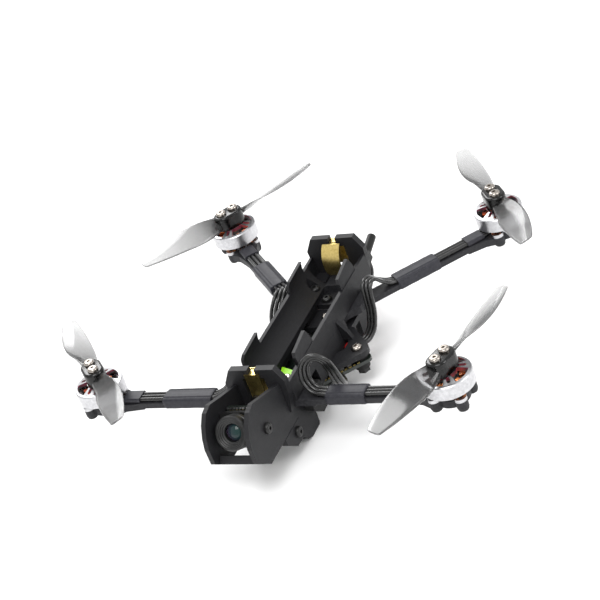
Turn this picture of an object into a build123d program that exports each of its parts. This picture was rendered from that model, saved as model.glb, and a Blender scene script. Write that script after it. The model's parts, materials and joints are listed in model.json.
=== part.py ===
from build123d import *
import os
from math import atan2, cos, degrees, hypot, pi, radians, sin, tan

# Light long-range racing quadcopter that flies on one 18650 cell.
# X runs across the craft (its own left is +X), Y from nose to tail, Z up, in millimetres.
# Heights in this file are measured from the arm plate's top face. The finished pieces are
# lowered by CELL_HEIGHT, so that the origin lies on the axis of the cell's cradle.

# ---- driving dimensions -----------------------------------------------------------------
FRONT_MOTOR = (64.8, -32.7)      # centre of the +X front motor
REAR_MOTOR = (53.15, 60.5)       # centre of the +X rear motor
PLATE = 2.5                      # thickness of the arm plate
PAD = 2.6                        # thickness of the plate under each motor
ARM = 2.0                        # thickness of an arm
ARM_WIDTH = 5.8
SPINE = 9.0                      # half width of the plate's middle
PLATE_ENDS = (-35.9, 36.2)
REAR_ARM_ROOT = (6.0, 12.0)

CELL_HEIGHT = 8.2                # cradle axis above the plate
CRADLE_R = 9.4                   # inside of the cradle, for a cell 18.5 across
CRADLE_WALL = 1.1
CRADLE_SLOT = 4.6                # half width of the floor opening
RAIL_TOP = 7.6
CLAW = 12.0                      # length of a claw
CLAW_TIPS = (-14.6, 26.3)        # where the two pairs of claws end
CLAW_TOP = 12.6
BULKHEAD = 2.6
FRONT_FACE = -38.5
REAR_FACE = 38.8
CONTACT_GAP = 31.0               # each contact's crown from the middle of the cradle
CRADLE_HALF = 30.5               # half length of the cradle's round wall

CHEEK_OUT = 8.6                  # outside of the camera cheeks
CHEEK = 1.6
CAMERA_PIVOT = (-53.8, 3.3)      # Y and Z of the tilt axis
CAMERA_TILT = 28.0
CAMERA_WIDTH = 13.6
LENS_R = 5.8

STACK_Y = -2.5                   # middle of the flight controller
STACK_HOLE = 18.4                # from the middle to each of its four holes
DECK_TOP = -4.5                  # top of the ears that carry it
DECK = 2.0
BOARD_TOP = -8.2
BOARD = 1.2
SKID_BOTTOM = -18.5

SCREW_R = 1.0                    # every screw is M2
HEAD_R = 1.9
HEAD = 1.25
LUG_R = 6.36                     # motor screws: 9 mm square

BELL_R = 8.6
MAGNET_R = 7.75                  # inside of the rim, behind the magnets
BELL_BOTTOM = 2.7
BELL_SHOULDER = 7.3
BELL_TOP = 8.4
SHAFT_R = 0.75
PROP_R = 38.1
HUB_LONG = 11.2                  # a propeller's hub, along its blades and across them
HUB_WIDE = 7.4
HUB_TOP = 14.1
PROP_SCREW = 2.5                 # each prop screw from the shaft

WIRE_R = 0.68
WIRE_PITCH = 1.5
LEAD_R = 0.8

# name, centre, direction of the blades in degrees, spin seen from above (+1 is anticlockwise)
MOTORS = {
    "fl": (FRONT_MOTOR, 73.5, -1),
    "fr": ((-FRONT_MOTOR[0], FRONT_MOTOR[1]), -47.2, 1),
    "rl": (REAR_MOTOR, -53.3, 1),
    "rr": ((-REAR_MOTOR[0], REAR_MOTOR[1]), 52.9, -1),
}

os.makedirs("parts", exist_ok=True)


# ---- helpers ----------------------------------------------------------------------------
def face(points):
    """A flat face from a closed outline."""
    return make_face(Polyline(*points, close=True))


def both(points):
    """An outline's right half and its mirror image, as one closed outline."""
    return list(points) + [(-x, z) for x, z in reversed(points)]


def across_x(sketch, low, high):
    """Extrudes a drawing of Y and Z from x = low to x = high."""
    return extrude(Plane.YZ.offset(low) * sketch, amount=high - low)


def along_y(sketch, low, high):
    """Extrudes a drawing of X and Z from y = low to y = high."""
    return extrude(Plane.XZ.offset(-low) * sketch, amount=-(high - low))


def up_z(sketch, low, high):
    """Extrudes a drawing of X and Y from z = low to z = high."""
    return extrude(Plane.XY.offset(low) * sketch, amount=high - low)


def block(x, y, z):
    """A box from its low and high value along each axis."""
    size = (x[1] - x[0], y[1] - y[0], z[1] - z[0])
    middle = ((x[0] + x[1]) / 2, (y[0] + y[1]) / 2, (z[0] + z[1]) / 2)
    return Pos(*middle) * Box(*size)


def rod(x, y, low, high, radius):
    """An upright cylinder."""
    return Pos(x, y, (low + high) / 2) * Cylinder(radius, high - low)


def mirror_x(shape):
    return mirror(shape, about=Plane.YZ)


def pair(shape):
    """A piece and its mirror image on the other side of the craft."""
    return shape + mirror_x(shape)


def write(name, solids):
    """Lowers a node's solids to the craft's origin and writes them as one STEP file."""
    solids = solids if isinstance(solids, list) else [solids]
    loose = [s for shape in solids for s in shape.solids()]
    placed = [Pos(0, 0, -CELL_HEIGHT) * s for s in loose]
    piece = placed[0] if len(placed) == 1 else Compound(children=placed)
    export_step(piece, f"parts/{name}.step")


def button_screw(length, head_r=HEAD_R, head=HEAD, shank_r=SCREW_R):
    """A button-head hex-socket screw, its head on z = 0 and its shank pointing down."""
    dome = Pos(0, 0, head / 2) * Cylinder(head_r, head)
    dome = fillet(dome.edges().group_by(Axis.Z)[-1], head * 0.6)
    socket = up_z(RegularPolygon(head_r * 0.36, 6), head * 0.35, head + 0.1)
    return dome - socket + Pos(0, 0, -length / 2) * Cylinder(shank_r, length)


def turned(motor, shape, angle=0.0):
    """Puts a shape drawn at the origin on a motor's axis."""
    x, y = motor
    return Pos(x, y, 0) * Rot(0, 0, angle) * shape


def arm_heading(motor):
    """The direction in degrees from a motor inward along its arm."""
    x, y = motor
    if y < 0:
        return 180.0 if x > 0 else 0.0
    side = 1 if x > 0 else -1
    return degrees(atan2(REAR_ARM_ROOT[1] - y, side * REAR_ARM_ROOT[0] - x))


# ---- the arm plate ----------------------------------------------------------------------
def arm_strip(motor):
    """A rear arm's outline, from the plate's middle to a motor."""
    x, y = motor
    side = 1 if x > 0 else -1
    dx = x - side * REAR_ARM_ROOT[0]
    dy = y - REAR_ARM_ROOT[1]
    long = hypot(dx, dy)
    strip = Rot(0, 0, degrees(atan2(dy, dx))) * (Pos(long / 2, 0) * Rectangle(long, ARM_WIDTH))
    return Pos(side * REAR_ARM_ROOT[0], REAR_ARM_ROOT[1]) * strip


def pad_outline(motor):
    """A motor pad: a disc with four lobes, one under each motor screw."""
    lobes = [Rot(0, 0, 45 + 90 * i) * (Pos(LUG_R, 0) * Circle(2.05)) for i in range(4)]
    webs = [Rot(0, 0, 45 + 90 * i) * (Pos(LUG_R / 2, 0) * Rectangle(LUG_R, 3.8)) for i in range(2)]
    half = [(16, ARM_WIDTH / 2 - 0.2), (9.5, 3.7), (5.2, 6.1), (0, 4)]
    shape = Circle(5.6) + face(half + [(x, -y) for x, y in reversed(half)])
    for extra in lobes + [Rot(0, 0, 180) * w for w in webs] + webs:
        shape = shape + extra
    x, y = motor
    return Pos(x, y) * Rot(0, 0, arm_heading(motor)) * shape


def arm_plate():
    """The carbon plate: a slotted spine, two straight front arms and two swept rear arms."""
    front, rear = PLATE_ENDS
    outline = Pos(0, (front + rear) / 2) * RectangleRounded(2 * SPINE, rear - front, 2.0)
    outline += Pos(0, FRONT_MOTOR[1]) * Rectangle(2 * FRONT_MOTOR[0], ARM_WIDTH)
    flare = [(8, front + 0.4), (13.5, FRONT_MOTOR[1] - 3.0), (13.5, FRONT_MOTOR[1] + 3.0), (8, -22)]
    outline += face(flare) + face([(-x, y) for x, y in flare])
    gusset = [(7, 8), (14.5, 15.5), (16, 25), (7, 27)]
    outline += face(gusset) + face([(-x, y) for x, y in gusset])
    for motor in (REAR_MOTOR, (-REAR_MOTOR[0], REAR_MOTOR[1])):
        outline += arm_strip(motor)
    outline -= Pos(0, 1.0) * RectangleRounded(2 * CRADLE_SLOT + 1.0, 56, 2.0)
    plate = up_z(outline, -PLATE, 0)
    plate -= pair(block((17, 80), (-60, 80), (-PLATE - 1, -ARM)))
    for motor, _, _ in MOTORS.values():
        plate += up_z(pad_outline(motor), -PAD, 0)
    for motor, _, _ in MOTORS.values():
        plate -= turned(motor, rod(0, 0, -PAD - 1, 1, 2.2))
        for i in range(4):
            hole = Rot(0, 0, 45 + 90 * i) * rod(LUG_R, 0, -PAD - 1, 1, SCREW_R)
            plate -= turned(motor, hole, arm_heading(motor))
    for x, y in PLATE_SCREWS:
        plate -= rod(x, y, -PLATE - 1, 1, SCREW_R)
    return plate


PLATE_SCREWS = [(7.0, -27.5), (-7.0, -27.5), (7.0, 26.0), (-7.0, 26.0)]
PLATE_SEAT = 0.6                 # their heads stay below a seated cell


# ---- the cell's cradle ------------------------------------------------------------------
BULKHEAD_HALF = [(8.2, 14.9), (11.0, 10.0), (10.7, 4.0), (9.2, -PLATE)]


def cradle_bore(low, high):
    """The room of the cell, as a cylinder along Y."""
    return along_y(Pos(0, CELL_HEIGHT) * Circle(CRADLE_R), low, high)


def claw(tip):
    """One finger of the cradle: a curved wall with its point towards the tail."""
    low = tip - CLAW
    ring = Circle(CRADLE_R + CRADLE_WALL) - Circle(CRADLE_R)
    wall = along_y(Pos(0, CELL_HEIGHT) * ring, low - 1, tip + 3)
    side = [(low, 4.5), (low, 10.3), (low + 1.2, 11.6), (tip, CLAW_TOP), (tip + 1.5, 4.5)]
    fin = across_x(face(side), 3, 15)
    return wall & fin


def bulkhead(low, high):
    """One end wall, with a window for the contact and a notch for its tab."""
    wall = along_y(face(both(BULKHEAD_HALF)), low, high)
    wall -= block((-4.0, 4.0), (low - 1, high + 1), (0.6, 11.6))
    return wall - block((-1.35, 1.35), (low - 1, high + 1), (12.9, 16))


def battery_tray():
    """The printed cradle: two rails with claws, an end wall at each end and side skirts."""
    front, rear = FRONT_FACE + BULKHEAD, REAR_FACE - BULKHEAD
    rail = [(CRADLE_SLOT, 0), (11.1, 0), (10.7, RAIL_TOP), (9.0, RAIL_TOP), (CRADLE_SLOT, 3)]
    side = along_y(face(rail), front, rear) - cradle_bore(-CRADLE_HALF, CRADLE_HALF)
    for low, high in ((front, -CRADLE_HALF), (CRADLE_HALF, rear)):
        side -= block((0, CRADLE_R + 0.25), (low, high), (0.8, 12))
    skirt = [(SPINE + 0.1, 0.5), (SPINE + 0.1, DECK_TOP), (11.6, DECK_TOP), (11.1, 0.5)]
    side += along_y(face(skirt), -19.0, 8.0)
    web = along_y(face([(10.9, 3.2), (14.0, -1.5), (15.2, DECK_TOP), (11.4, DECK_TOP), (11.0, 0)]), 2.5, 4.3)
    side += web
    for tip in CLAW_TIPS:
        side += claw(tip)
    tray = side + mirror_x(side) + bulkhead(FRONT_FACE, front) + bulkhead(rear, REAR_FACE)
    for x, y in PLATE_SCREWS:
        tray -= rod(x, y, -1, 9, SCREW_R)
        tray -= rod(x, y, PLATE_SEAT, 12, HEAD_R + 0.1) & block((-9, 9), (y - 3, y + 3), (0, 12))
    return tray


def contact_leaf(side):
    """A bowed contact leaf, hinging at its top edge; side is -1 at the nose, +1 at the tail."""
    thick = 0.4
    top, crown, foot = (34.9, 13.4), (CONTACT_GAP, 7.6), (33.0, 1.6)
    arc = ThreePointArc(top, crown, foot)
    back = ThreePointArc(*[(y + thick, z) for y, z in (foot, crown, top)])
    ends = [Line(foot, (foot[0] + thick, foot[1])), Line((top[0] + thick, top[1]), top)]
    leaf = across_x(make_face([arc, ends[0], back, ends[1]]), -3.4, 3.4)
    return leaf if side > 0 else mirror(leaf, about=Plane.XZ)


def contact_tab(side):
    """The fixed strip outside an end wall, bent inward over the notch's sill."""
    face_y = REAR_FACE if side > 0 else -FRONT_FACE
    strip = block((-2.7, 2.7), (face_y, face_y + 0.4), (3.0, 13.3))
    neck = block((-1.2, 1.2), (face_y - BULKHEAD, face_y + 0.4), (12.9, 13.3))
    tab = strip + neck
    return tab if side > 0 else mirror(tab, about=Plane.XZ)


def lime_spacer():
    """The lime-green spacer under the head of the stack's front screw."""
    shape = [(-4.6, -24.2), (1.0, -23.2), (4.7, -24.2), (4.2, -19.5), (4.9, -14.2), (1.2, -16.4), (-4.6, -14.0), (-3.4, -20)]
    return up_z(face(shape), DECK_TOP, -PLATE) - rod(0, STACK_Y - STACK_HOLE, -9, 0, SCREW_R)


# ---- under the plate --------------------------------------------------------------------
def ear():
    """The +X ear that carries one corner of the flight controller."""
    tip = STACK_HOLE
    shape = face([(9, -14.5), (11.6, -14.0), (tip + 2.6, STACK_Y - 3.2), (tip + 2.6, STACK_Y + 3.2), (12.6, 10.0), (9, 10.5)])
    shape += Pos(tip, STACK_Y) * Circle(4.1)
    return shape - face([(11.2, 4.4), (11.2, -5.2), (13.8, -2.6), (13.8, 1.8)])


def stack_plate():
    """The lower deck: four ears that hang the flight controller, on bosses under the plate."""
    deck = Pos(0, 0.7) * Rectangle(2 * 11.6, 40.6) - Pos(0, STACK_Y) * Rectangle(14, 26)
    ears = ear()
    deck += ears + mirror(ears, about=Plane.YZ)
    for y in (-1, 1):
        deck += Pos(0, STACK_Y + y * STACK_HOLE) * Circle(4.1)
    body = up_z(deck, DECK_TOP - DECK, DECK_TOP)
    for low, high in ((-19.6, -15.6), (11.4, 21.0)):
        body += pair(block((5.4, SPINE), (low, high), (DECK_TOP, -PLATE)))
    for x, y in STACK_HOLES:
        body -= rod(x, y, DECK_TOP - DECK - 1, 0, SCREW_R)
    return body


STACK_HOLES = [(STACK_HOLE, STACK_Y), (-STACK_HOLE, STACK_Y), (0, STACK_Y + STACK_HOLE), (0, STACK_Y - STACK_HOLE)]
FLOOR_SCREWS = [(2.5, 24.0), (-2.5, 24.0)]


def skid(outline):
    """A landing skid: the outline's full width with a tunnel along Y for the leads."""
    body = across_x(face(outline), -CHEEK_OUT, CHEEK_OUT)
    low = min(y for y, _ in outline) - 1
    high = max(y for y, _ in outline) + 1
    return body - block((-6.4, 6.4), (low, high), (SKID_BOTTOM + 2.4, -PLATE - 2.0))


SKID_SCREW = (-38.6, -10.6)      # Y and Z of the screw in each side of the front skid


def front_skid():
    outline = [(-35.2, -PLATE), (-24.4, -PLATE), (-24.4, -17.8), (-25.2, SKID_BOTTOM), (-31.6, SKID_BOTTOM),
               (-34.2, -17.2), (-36.2, -14.6), (-41.4, -14.4), (-46.6, -10.0), (-46.6, -7.5), (-35.2, -7.5)]
    body = skid(outline)
    return body - pair(Pos(CHEEK_OUT, *SKID_SCREW) * Rot(0, 90, 0) * Cylinder(SCREW_R, 6))


def rear_skid():
    outline = [(21.2, -PLATE), (31.6, -PLATE), (31.0, -12.0), (29.4, -16.8), (27.8, SKID_BOTTOM),
               (22.6, SKID_BOTTOM), (21.2, -17.4)]
    body = skid(outline)
    for x, y in FLOOR_SCREWS:
        body -= rod(x, y, -PLATE - 4, 0, SCREW_R)
    return body


def side_bumper():
    """A rubber stop beside the skid that guards the front corner of the boards."""
    outline = [(-30.6, -PLATE), (-21.4, -PLATE), (-19.8, -8.0), (-20.6, -12.6), (-25.4, -12.9), (-30.6, -8.4)]
    return pair(across_x(face(outline), 9.2, 12.4))


# ---- the camera and its cheeks ----------------------------------------------------------
def lens_place(shape):
    """Turns a shape drawn about the lens axis (+Z out of the lens) into its tilted place."""
    return Pos(0, *CAMERA_PIVOT) * Rot(90 - CAMERA_TILT, 0, 0) * shape


def camera_mount():
    """Two printed cheeks with a bar between them, on the nose of the craft."""
    outline = [(FRONT_FACE, 9.2), (-48.5, 12.4), (-56.0, 15.0), (-59.6, 14.2), (-62.4, 11.6), (-64.6, 8.0),
               (-65.7, 4.2), (-65.5, -1.7), (-58.7, -7.3), (-35.2, -7.3), (-35.2, -PLATE - 0.1), (FRONT_FACE, -PLATE - 0.1)]
    cheek = across_x(face(outline), CHEEK_OUT - CHEEK, CHEEK_OUT)
    cheek -= Pos(CHEEK_OUT, *CAMERA_PIVOT) * Rot(0, 90, 0) * Cylinder(SCREW_R + 0.04, 6)
    bar = across_x(face([(-63.4, -3.5), (-58.7, -7.3), (-56.4, -7.3), (-56.4, -5.6), (-61.6, -1.4)]), -CHEEK_OUT, CHEEK_OUT)
    shelf = block((-CHEEK_OUT, CHEEK_OUT), (-36.8, -35.2), (-7.3, -5.6))
    return pair(cheek) + bar + shelf


def camera_body():
    """The black lens holder and housing."""
    half = CAMERA_WIDTH / 2
    body = Pos(0, 0, -0.2) * Box(CAMERA_WIDTH, CAMERA_WIDTH - 2.2, 5.2)
    body = fillet(body.edges().filter_by(Axis.Z), 0.8)
    collar = Pos(0, 0, 3.0) * Cylinder(5.0, 1.6)
    holes = Rot(0, 90, 0) * Cylinder(SCREW_R, CAMERA_WIDTH + 2)
    core = Rot(0, 90, 0) * Cylinder(2, 2 * half - 6)
    return lens_place(body + collar - (holes - core))


def lens_barrel():
    tube = Cylinder(LENS_R, 4.6, align=(Align.CENTER, Align.CENTER, Align.MIN))
    tube = chamfer(tube.edges().group_by(Axis.Z)[-1], 0.5)
    mouth = Pos(0, 0, 3.2) * Cone(3.0, 4.7, 1.4, align=(Align.CENTER, Align.CENTER, Align.MIN))
    well = Pos(0, 0, 1.6) * Cylinder(3.0, 1.6, align=(Align.CENTER, Align.CENTER, Align.MIN))
    return lens_place(Pos(0, 0, 3.8) * (tube - mouth - well))


def lens_glass():
    ball = Pos(0, 0, 5.4 - 2.4) * Sphere(3.9)
    keep = Pos(0, 0, 5.4) * Cylinder(3.0, 3.0, align=(Align.CENTER, Align.CENTER, Align.MIN))
    return lens_place(ball & keep)


def camera_board():
    """The sensor board behind the housing, with a rear board on a header."""
    sensor = Pos(0, 0, -3.4) * Box(CAMERA_WIDTH, CAMERA_WIDTH, 1.2)
    rear = Pos(0, 0, -6.6) * Box(CAMERA_WIDTH - 1.2, CAMERA_WIDTH - 1.2, 1.0)
    header = Pos(0, -4.2, -5.05) * Box(8.0, 2.0, 2.1)
    return lens_place(sensor + rear + header)


def camera_chips():
    """Small parts soldered along the top of the sensor board."""
    up = CAMERA_WIDTH / 2 - 0.55
    row = [Pos(-5.4 + 1.8 * i, up, -2.3) * Box(1.1, 0.9, 1.0) for i in range(7)]
    return [lens_place(c) for c in row]


def camera_screws():
    """One button screw each side, threaded into the housing through its cheek."""
    screw = button_screw(3.6, shank_r=0.98)
    right = Pos(CHEEK_OUT + 0.05, *CAMERA_PIVOT) * Rot(0, 90, 0) * screw
    return right


# ---- electronics ------------------------------------------------------------------------
def diamond(side, low, high, corner=2.0):
    """A square board turned to stand on its corner."""
    sheet = Rot(0, 0, 45) * RectangleRounded(side, side, corner)
    return up_z(Pos(0, STACK_Y) * sheet, low, high)


def flight_controller():
    board = diamond(33.0, BOARD_TOP - BOARD, BOARD_TOP)
    for x, y in STACK_HOLES:
        board -= rod(x, y, BOARD_TOP - BOARD - 1, BOARD_TOP + 1, 1.7)
    return board


def board_parts():
    """Chips and capacitors on both faces of the flight controller."""
    spots = []
    for along in (2.4, 5.2, 8.0):
        for side in (-1, 1):
            spots.append((side * 14.6, along, 2.2, 1.5, 1.1, 1))
            spots.append((along, side * 14.6, 1.5, 2.2, 1.1, 1))
    spots += [(0, 0, 7, 7, 0.9, 1), (8, 6, 4, 4, 0.9, 1), (-8, -6, 4, 4, 0.9, 1)]
    spots += [(x, y, 3.6, 3.6, 0.9, -1) for x in (-9, -3, 3, 9) for y in (-9, 9)]
    made = []
    for u, v, wide, deep, tall, up in spots:
        low = BOARD_TOP if up > 0 else BOARD_TOP - BOARD - tall
        chip = block((u - wide / 2, u + wide / 2), (v - deep / 2, v + deep / 2), (low, low + tall))
        made.append(Pos(0, STACK_Y, 0) * Rot(0, 0, 45) * chip)
    return made


def dampers():
    """Four rubber grommets: a waist in the board's hole between two flanges."""
    made = []
    for x, y in STACK_HOLES:
        upper = rod(x, y, BOARD_TOP, DECK_TOP - DECK, 2.7)
        lower = rod(x, y, BOARD_TOP - BOARD - 2.4, BOARD_TOP - BOARD, 2.7)
        waist = rod(x, y, BOARD_TOP - BOARD, BOARD_TOP, 1.7)
        grommet = upper + lower + waist - rod(x, y, -20, 0, SCREW_R)
        made.append(grommet)
    return made


def stack_screws():
    made = [Pos(x, y, DECK_TOP) * button_screw(9.2) for x, y in STACK_HOLES[:3]]
    x, y = STACK_HOLES[3]
    return made + [Pos(x, y, -PLATE) * button_screw(11.2)]


def stack_nuts():
    low = DECK_TOP - 9.0
    nut = up_z(RegularPolygon(2.3, 6), low, low + 1.6)
    return [Pos(x, y, 0) * nut - rod(x, y, low - 1, low + 3, SCREW_R) for x, y in STACK_HOLES]


def usb_socket():
    """The metal shell of the socket on the flight controller's rear corner edge."""
    shell = block((-4.4, 4.4), (-3.4, 3.4), (0, 3.0))
    shell = fillet(shell.edges().filter_by(Axis.Y), 1.1)
    mouth = fillet(block((-4.0, 4.0), (-4.0, 2.6), (0.4, 2.6)).edges().filter_by(Axis.Y), 0.8)
    tongue = block((-3.0, 3.0), (-2.8, 2.7), (1.2, 1.8))
    body = shell - mouth + tongue
    low = BOARD_TOP - BOARD - 3.0
    return Pos(0, STACK_Y, low) * Rot(0, 0, 135) * (Pos(0, -13.6, 0) * body)


def video_board():
    """The video transmitter board under the flight controller."""
    low = VIDEO_TOP - 1.0
    return block((-9.5, 9.5), (STACK_Y - 8.5, STACK_Y + 8.5), (low, VIDEO_TOP))


VIDEO_TOP = -12.4


def video_shield():
    can = block((-7.0, 7.0), (STACK_Y - 6.5, STACK_Y + 6.5), (VIDEO_TOP - 3.0, VIDEO_TOP - 1.0))
    return fillet(can.edges().group_by(Axis.Z)[0], 0.4)


# ---- motors -----------------------------------------------------------------------------
def motor_base():
    """The base: a disc with four lugs and the tube that holds the bearings."""
    base = Cylinder(5.2, 1.2, align=(Align.CENTER, Align.CENTER, Align.MIN))
    for i in range(4):
        lug = rod(LUG_R, 0, 0, 1.2, 2.1) + block((2, LUG_R), (-1.6, 1.6), (0, 1.2))
        base += Rot(0, 0, 45 + 90 * i) * lug
    base += rod(0, 0, 0, 7.0, 2.7)
    base -= rod(0, 0, -1, 8, 2.1)
    base += rod(0, 0, 0, 0.4, 2.2) - rod(0, 0, -1, 1, 1.2)
    for i in range(4):
        base -= Rot(0, 0, 45 + 90 * i) * rod(LUG_R, 0, -1, 2, SCREW_R)
    return base


def bearings():
    """Two ball bearings' outer size, with a running fit on the shaft."""
    ring = Circle(2.1) - Circle(SHAFT_R + 0.02)
    return [up_z(ring, 0.4, 2.0), up_z(ring, 5.4, 7.0)]


TEETH = 9


def stator_core():
    core = up_z(Circle(3.5) - Circle(2.7), 3.1, 5.5)
    for i in range(TEETH):
        tooth = block((3.3, 6.6), (-0.5, 0.5), (3.1, 5.5))
        shoe = up_z(Circle(6.8) - Circle(6.35), 3.1, 5.5) & block((5, 7), (-1.7, 1.7), (3, 6))
        core += Rot(0, 0, i * 360 / TEETH) * (tooth + shoe)
    return core


def windings():
    made = []
    for i in range(TEETH):
        coil = block((3.75, 6.1), (-1.15, 1.15), (2.5, 6.1))
        coil = fillet(coil.edges().filter_by(Axis.X), 0.6) - block((3, 6.5), (-0.5, 0.5), (3.1, 5.5))
        made.append(Rot(0, 0, i * 360 / TEETH) * coil)
    return made


def bell():
    """The motor's bell: a rim, a domed top with four windows and slotted spokes, and a hub."""
    half = [(0, BELL_TOP - 1.2), (3.6, BELL_TOP - 1.2), (6.6, 6.5), (MAGNET_R, 6.3), (MAGNET_R, BELL_BOTTOM),
            (BELL_R, BELL_BOTTOM), (BELL_R, BELL_SHOULDER - 0.1), (BELL_R - 0.3, BELL_SHOULDER + 0.2),
            (7.7, BELL_SHOULDER + 0.3), (4.6, BELL_TOP), (0, BELL_TOP)]
    body = revolve(Plane.XZ * face(half), Axis.Z)
    window = Circle(7.45) - Circle(3.8)
    turn = radians(29)
    slice_ = face([(0, 0), (11 * cos(turn), -11 * sin(turn)), (11 * cos(turn), 11 * sin(turn))])
    for i in range(4):
        body -= Rot(0, 0, 90 * i) * up_z(window & slice_, 3, 12)
        body -= Rot(0, 0, 45 + 90 * i) * up_z(Pos(5.7, 0) * SlotOverall(2.4, 1.2), 3, 12)
    body -= rod(0, 0, 0, 12, SHAFT_R)
    for side in (-1, 1):
        body -= rod(side * PROP_SCREW, 0, BELL_TOP - 1.3, 12, SCREW_R)
    return body


def magnets():
    """Fourteen bar magnets inside the rim."""
    ring = up_z(Circle(MAGNET_R) - Circle(MAGNET_R - 0.65), BELL_BOTTOM + 0.3, 6.0)
    made = []
    for i in range(14):
        keep = Rot(0, 0, i * 360 / 14) * block((6, 8), (-1.25, 1.25), (0, 9))
        made.append(ring & keep)
    return made


def motor_shaft():
    return rod(0, 0, 0.1, BELL_TOP + 2.4, SHAFT_R)


# ---- propellers -------------------------------------------------------------------------
BLADE = [  # radius, chord, thickness, offset of the middle along the chord, lift of the middle
    (3.0, 5.4, 2.6, 0.0, 0.0),
    (7.5, 7.4, 1.7, 0.1, 0.1),
    (14.0, 9.8, 1.25, 0.4, 0.4),
    (22.0, 9.8, 1.0, 0.3, 0.9),
    (30.0, 8.0, 0.85, -0.3, 1.4),
    (35.6, 5.8, 0.7, -0.9, 1.8),
    (PROP_R, 4.4, 0.5, -1.3, 2.0),
]
PITCH = 50.0                     # how far a blade screws forward in one turn


def blade():
    """One blade along +X of a propeller that turns clockwise seen from above."""
    sections = []
    for radius, chord, thick, shift, lift in BLADE:
        angle = min(degrees(atan2(PITCH, 2 * pi * radius)), 38.0)
        plane = Plane(origin=(radius, -shift, 11.3 + lift), x_dir=(0, 1, 0), z_dir=(1, 0, 0))
        sections.append(plane * (Rot(0, 0, -angle) * Ellipse(chord / 2, thick / 2)))
    return loft(sections)


def propeller(spin):
    """A two-blade propeller: a deep hub, longer along the blades, and two twisted blades."""
    hub = up_z(SlotOverall(HUB_LONG, HUB_WIDE), BELL_TOP, HUB_TOP)
    hub = fillet(hub.edges().group_by(Axis.Z)[-1], 0.7)
    one = blade()
    body = hub + one + Rot(0, 0, 180) * one
    body -= rod(0, 0, BELL_TOP - 1, HUB_TOP + 2, SHAFT_R)
    for side in (-1, 1):
        body -= rod(side * PROP_SCREW, 0, BELL_TOP - 1, HUB_TOP + 3, SCREW_R)
        body -= rod(side * PROP_SCREW, 0, HUB_TOP, HUB_TOP + 3, HEAD_R)
    return body if spin < 0 else mirror(body, about=Plane.XZ)


def prop_screws():
    screw = Pos(0, 0, HUB_TOP) * button_screw(HUB_TOP - BELL_TOP + 1.1)
    return [Pos(side * PROP_SCREW, 0, 0) * screw for side in (-1, 1)]


# ---- wires and sleeves ------------------------------------------------------------------
def tube(points, radius):
    """A wire along straight runs joined by tangent arcs, each arc as large as its runs allow."""
    runs = [points[i + 1] - points[i] for i in range(len(points) - 1)]
    radii = []
    for before, after in zip(runs, runs[1:]):
        turn = radians(before.get_angle(after))
        radii.append(0.45 * min(before.length, after.length) / tan(turn / 2))
    path = FilletPolyline(*points, radius=radii)
    section = Plane(origin=path @ 0, z_dir=path % 0) * Circle(radius)
    body = sweep(section, path=path)
    ideal = pi * radius ** 2 * path.length
    print(f"  wire {path.length:6.1f} mm, tightest arc {min(radii):4.1f}, volume ratio {body.volume / ideal:.4f}")
    return body


def ribbon(route, across):
    """Three wires side by side along one route, spread along across at its start and flat at its end."""
    points = [Vector(*p) for p in route]
    last = len(points) - 1
    spread = Vector(*across).normalized()
    runs = []
    for i, point in enumerate(points):
        along = (points[min(i + 1, last)] - points[max(i - 1, 0)]).normalized()
        spread = (spread - along * spread.dot(along)).normalized()
        runs.append((along, spread))
    along, spread = runs[-1]
    flat = along.cross(Vector(0, 0, 1)).normalized()
    twist = atan2(spread.cross(flat).dot(along), spread.dot(flat))
    if twist > pi / 2:
        twist -= pi
    if twist < -pi / 2:
        twist += pi
    offsets = []
    for i, (along, spread) in enumerate(runs):
        share = twist * min(max(i - 1, 0) / (last - 2), 1.0)
        turned_spread = spread * cos(share) + along.cross(spread) * sin(share)
        offsets.append(turned_spread * WIRE_PITCH)
    return [tube([p + o * k for p, o in zip(points, offsets)], WIRE_R) for k in (-1, 0, 1)]


WIRE_Z = 0.82
WIRE_START = 6.9                 # from the motor's axis to where its wires begin
SHRINK = (8.6, 15.2)             # short shrink over the wires, from the motor's axis
SLEEVES = {                      # sleeve over wires and arm, from the motor's axis
    "fl": (29.4, 43.4),
    "fr": (24.7, 43.4),
    "rl": (27.0, 43.4),
    "rr": (24.5, 43.4),
}

FL_ROUTE = [(21.0, -32.7, WIRE_Z), (16.4, -32.2, 1.2), (13.6, -31.0, 4.6), (13.7, -29.4, 9.2), (17.0, -28.0, 12.0),
            (20.6, -27.0, 9.4), (21.4, -25.8, 3.6), (20.6, -23.2, -2.4), (18.6, -18.6, -7.2), (16.0, -14.7, -8.8),
            (13.75, -12.3, -8.8)]
FR_ROUTE = [(-20.0, -32.7, WIRE_Z), (-16.4, -31.6, 2.4), (-15.0, -28.6, 3.4), (-15.8, -25.4, 0.8), (-17.8, -22.8, -3.4),
            (-18.2, -18.6, -7.2), (-16.0, -14.7, -8.8), (-13.75, -12.3, -8.8)]
RL_ROUTE = [(21.8, 28.3, WIRE_Z), (19.4, 25.6, 3.4), (18.9, 21.4, 7.8), (18.6, 17.2, 8.4), (19.0, 15.0, 4.0),
            (19.4, 13.4, -1.0), (18.6, 11.2, -6.2), (16.9, 8.75, -8.8), (14.6, 6.45, -8.8)]
RR_ROUTE = [(-21.8, 28.3, WIRE_Z), (-18.8, 25.2, 2.6), (-17.0, 21.4, 4.6), (-17.2, 17.6, 3.4), (-18.8, 14.6, -0.8),
            (-18.6, 11.2, -6.2), (-16.9, 8.75, -8.8), (-14.6, 6.45, -8.8)]
ROUTES = {"fl": FL_ROUTE, "fr": FR_ROUTE, "rl": RL_ROUTE, "rr": RR_ROUTE}


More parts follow.
